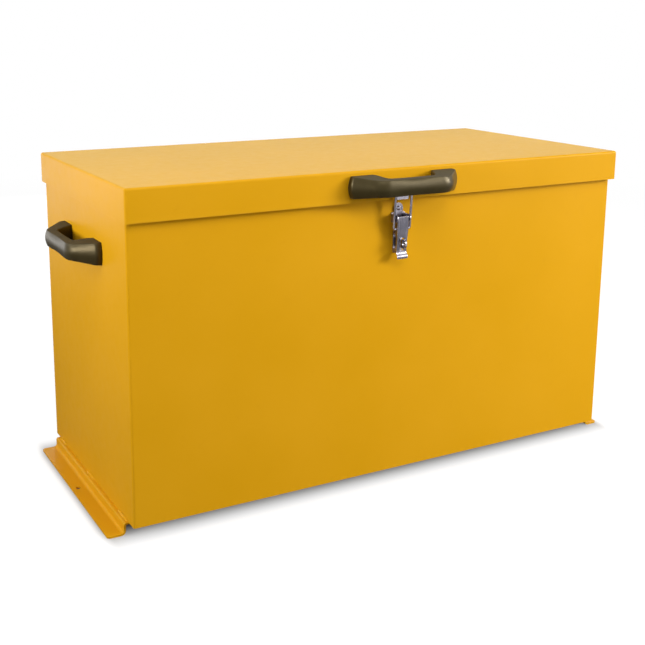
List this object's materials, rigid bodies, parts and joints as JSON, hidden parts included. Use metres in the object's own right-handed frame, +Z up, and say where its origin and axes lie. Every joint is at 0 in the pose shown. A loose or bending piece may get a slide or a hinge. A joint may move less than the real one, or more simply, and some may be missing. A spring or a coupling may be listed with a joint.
{
  "type": "site security box",
  "caption": "Lockable steel storage chest with a rear-hinged lid, slotted lid stays, toggle latch, bridge handles and bolt-down floor brackets.",
  "frame": {"origin": "on the floor, midway between the bolt-down holes of the two floor brackets", "axes": "+X to the box's right seen from the front, +Y to the hinged rear, +Z up"},
  "size_m": [1.034, 0.4979, 0.55],
  "materials": {
    "yellow_coat": "satin yellow powder coat",
    "black_nylon": "satin moulded nylon",
    "zinc_plate": "bright zinc plate",
    "brass": "turned brass",
    "rubber": "closed-cell rubber strip"
  },
  "bodies": {
    "box": {"body_wrapper": "yellow_coat", "rear_panel": "yellow_coat", "base_tray": "yellow_coat", "left_foot": "yellow_coat", "right_foot": "yellow_coat", "foot_welds": "yellow_coat", "hinge_body_leaf": "yellow_coat", "hinge_body_rivets": "yellow_coat", "left_handle": "black_nylon", "right_handle": "black_nylon", "hinge_pin": "zinc_plate", "latch_base": "zinc_plate", "latch_rivets": "zinc_plate", "lever_pivot_pin": "zinc_plate", "padlock_staple": "zinc_plate", "left_stay_stud": "zinc_plate", "right_stay_stud": "zinc_plate", "left_handle_screws": "zinc_plate", "left_handle_washers": "zinc_plate", "left_handle_inserts": "brass", "right_handle_screws": "zinc_plate", "right_handle_washers": "zinc_plate", "right_handle_inserts": "brass"},
    "lid": {"lid_pan": "yellow_coat", "lid_stiffeners": "yellow_coat", "lid_seal": "rubber", "hinge_lid_leaf": "yellow_coat", "hinge_lid_rivets": "yellow_coat", "lid_handle": "black_nylon", "lid_handle_inserts": "brass", "lid_handle_screws": "zinc_plate", "lid_handle_washers": "zinc_plate", "strike_ledge": "zinc_plate", "strike_rivets": "zinc_plate", "left_stay_bracket": "yellow_coat", "right_stay_bracket": "yellow_coat", "left_stay_rivet": "zinc_plate", "right_stay_rivet": "zinc_plate"},
    "left_stay": {"left_stay_arm": "zinc_plate"},
    "right_stay": {"right_stay_arm": "zinc_plate"},
    "latch_lever": {"latch_lever": "zinc_plate"},
    "latch_bail": {"latch_bail": "zinc_plate"}
  },
  "joints": [
    {"name": "lid_hinge", "type": "hinge", "parent": "box", "child": "lid", "pos_m": [0, 0.218, 0.498], "axis": [-1, 0, 0], "range_deg": [0, 95]},
    {"name": "left_stay_pivot", "type": "hinge", "parent": "lid", "child": "left_stay", "pos_m": [-0.4505, 0.037, 0.513], "axis": [-1, 0, 0], "range_deg": [-47.5, 0]},
    {"name": "right_stay_pivot", "type": "hinge", "parent": "lid", "child": "right_stay", "pos_m": [0.4505, 0.037, 0.513], "axis": [-1, 0, 0], "range_deg": [-47.5, 0]},
    {"name": "latch_lever_pivot", "type": "hinge", "parent": "box", "child": "latch_lever", "pos_m": [0, -0.2271, 0.466], "axis": [-1, 0, 0], "range_deg": [0, 100]},
    {"name": "latch_bail_pivot", "type": "hinge", "parent": "latch_lever", "child": "latch_bail", "pos_m": [0, -0.2256, 0.448], "axis": [-1, 0, 0], "range_deg": [-94, 0]}
  ],
  "couplings": [
    {"joint": "left_stay_pivot", "follows": "lid_hinge", "ratio": -0.5},
    {"joint": "right_stay_pivot", "follows": "lid_hinge", "ratio": -0.5},
    {"joint": "latch_bail_pivot", "follows": "latch_lever_pivot", "ratio": -0.94}
  ]
}
